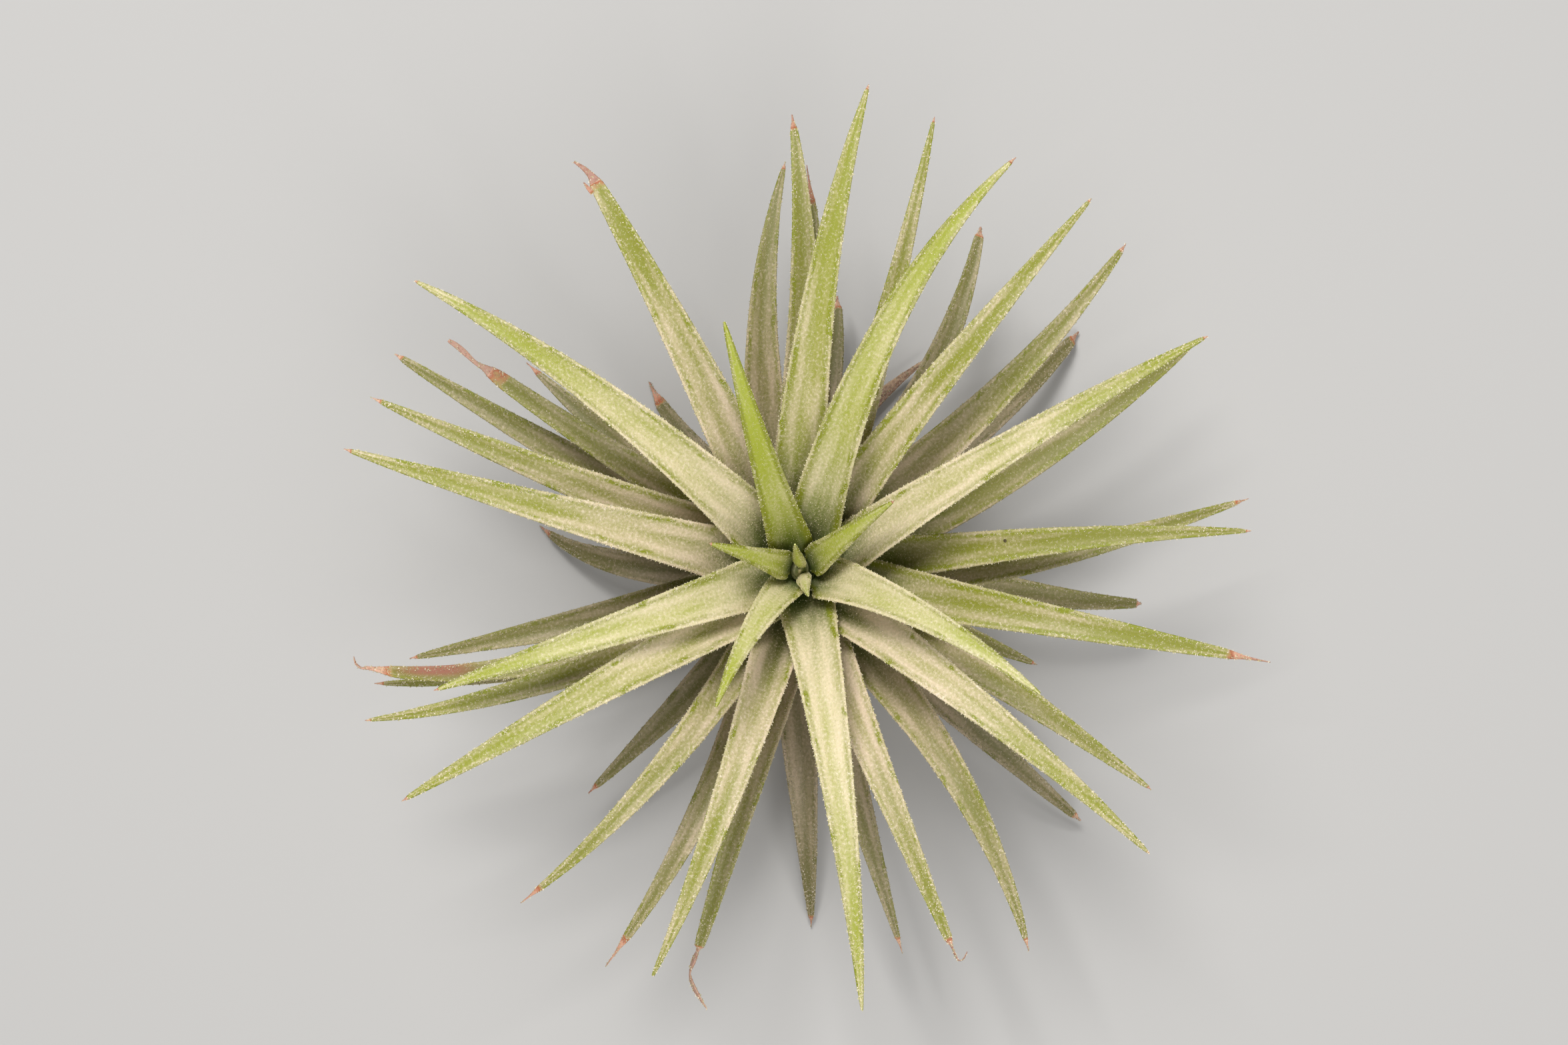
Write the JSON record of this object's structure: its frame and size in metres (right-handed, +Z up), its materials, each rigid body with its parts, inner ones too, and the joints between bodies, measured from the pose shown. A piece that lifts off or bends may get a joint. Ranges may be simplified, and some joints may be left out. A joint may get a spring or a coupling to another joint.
{
  "type": "sky plant",
  "caption": "Air plant that grows without soil: a rosette of narrow, channelled, silvery green leaves on a short stem, standing by itself.",
  "frame": {"origin": "centre of the stem's flat foot, on the surface that the plant stands on", "axes": "+Z up along the stem; +X and +Y are the right and the top of the picture, which looks straight down on the rosette"},
  "size_m": [0.1035, 0.1027, 0.0483],
  "materials": {
    "young_leaf": "fleshy leaf, bright yellow-green and satin, with fine silvery scales",
    "grown_leaf": "fleshy leaf, light green under a close coat of cream-white scales",
    "old_leaf": "fleshy leaf, grey-green and mealy with silvery scales, browner towards its point",
    "dried_leaf": "withered leaf, matt brown and pinkish, curled and wrinkled",
    "dried_tip": "dry point of a live leaf, matt pinkish brown",
    "leaf_scales": "silvery cream leaf scales, matt, each a fraction of a millimetre across",
    "stem": "short woody stem with brown sheath remains and wiry roots, matt"
  },
  "bodies": {
    "root": {"stem": "stem", "leaf_01": "young_leaf", "leaf_02": "young_leaf", "leaf_03": "young_leaf", "leaf_04": "young_leaf", "leaf_05": "young_leaf", "leaf_06": "young_leaf", "leaf_07": "young_leaf", "leaf_08": "grown_leaf", "leaf_09": "grown_leaf", "leaf_10": "grown_leaf", "leaf_11": "grown_leaf", "leaf_12": "grown_leaf", "leaf_13": "grown_leaf", "leaf_14": "grown_leaf", "leaf_15": "grown_leaf", "leaf_16": "grown_leaf", "leaf_17": "grown_leaf", "leaf_18": "grown_leaf", "leaf_19": "grown_leaf", "leaf_20": "grown_leaf", "leaf_21": "grown_leaf", "leaf_22": "grown_leaf", "leaf_23": "grown_leaf", "leaf_24": "grown_leaf", "leaf_25": "grown_leaf", "leaf_26": "grown_leaf", "leaf_27": "grown_leaf", "leaf_28": "grown_leaf", "leaf_29": "grown_leaf", "leaf_30": "grown_leaf", "leaf_31": "old_leaf", "leaf_32": "old_leaf", "leaf_33": "old_leaf", "leaf_34": "old_leaf", "leaf_35": "old_leaf", "leaf_36": "old_leaf", "leaf_37": "old_leaf", "leaf_38": "old_leaf", "leaf_39": "old_leaf", "leaf_40": "old_leaf", "leaf_41": "old_leaf", "leaf_42": "old_leaf", "leaf_43": "old_leaf", "leaf_44": "old_leaf", "leaf_45": "old_leaf", "leaf_46": "old_leaf", "leaf_47": "old_leaf", "leaf_48": "old_leaf", "leaf_49": "old_leaf", "leaf_50": "old_leaf", "leaf_51": "old_leaf", "leaf_52": "old_leaf", "leaf_53": "old_leaf", "dried_leaf_1": "dried_leaf", "dried_leaf_2": "dried_leaf", "dried_leaf_3": "dried_leaf"}
  },
  "joints": []
}
